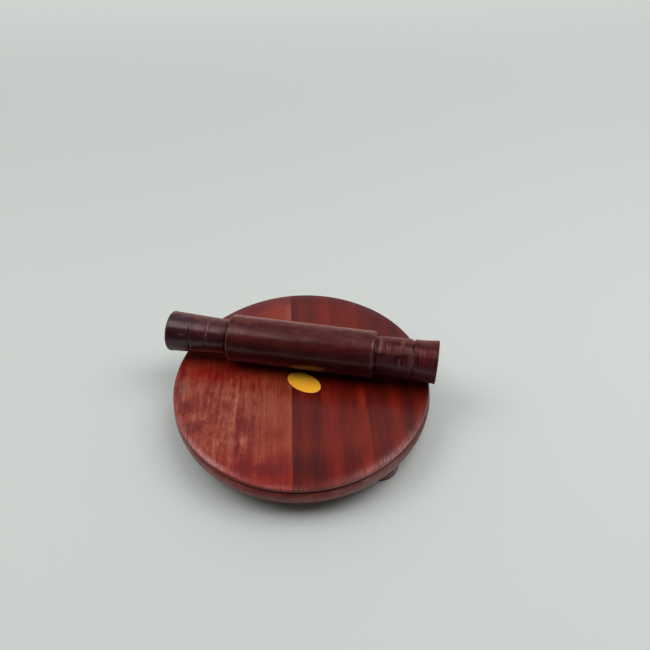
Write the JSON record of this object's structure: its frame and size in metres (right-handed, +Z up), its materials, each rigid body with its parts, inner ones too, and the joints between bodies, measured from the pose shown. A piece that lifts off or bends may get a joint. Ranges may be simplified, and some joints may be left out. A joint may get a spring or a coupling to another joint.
{
  "type": "rolling board with rolling pin",
  "caption": "Round wooden rolling board on short turned feet, with a loose wooden rolling pin lying across it, for rolling out flat bread.",
  "frame": {"origin": "on the board's centre line, at the level of the surface the feet stand on", "axes": "+Z up, +Y away from the user, +X to the user's right, roughly along the pin"},
  "size_m": [0.2433, 0.2284, 0.0801],
  "materials": {
    "wood_orange": "sealed hardwood, orange-red, blotchy",
    "wood_red": "sealed hardwood, dark red, straight grained",
    "wood_base": "sealed hardwood, brown-red",
    "wood_foot": "turned hardwood, brown-red",
    "wood_pin": "turned hardwood, dark red-brown, satin",
    "screw_steel": "plain zinc-coated steel",
    "label_yellow": "yellow paper-thin film"
  },
  "bodies": {
    "board": {"top_plank_left": "wood_orange", "top_plank_right": "wood_red", "base_plank_left": "wood_base", "base_plank_right": "wood_base", "foot_front_right": "wood_foot", "foot_back_right": "wood_foot", "foot_left": "wood_foot", "foot_screw_front_right": "screw_steel", "foot_screw_back_right": "screw_steel", "foot_screw_left": "screw_steel", "oval_label": "label_yellow"},
    "pin": {"rolling_pin": "wood_pin"}
  },
  "joints": [
    {"name": "pin_lift", "type": "slide", "parent": "board", "child": "pin", "axis": [0, 0, 1], "range_m": [0, 0.12]}
  ]
}
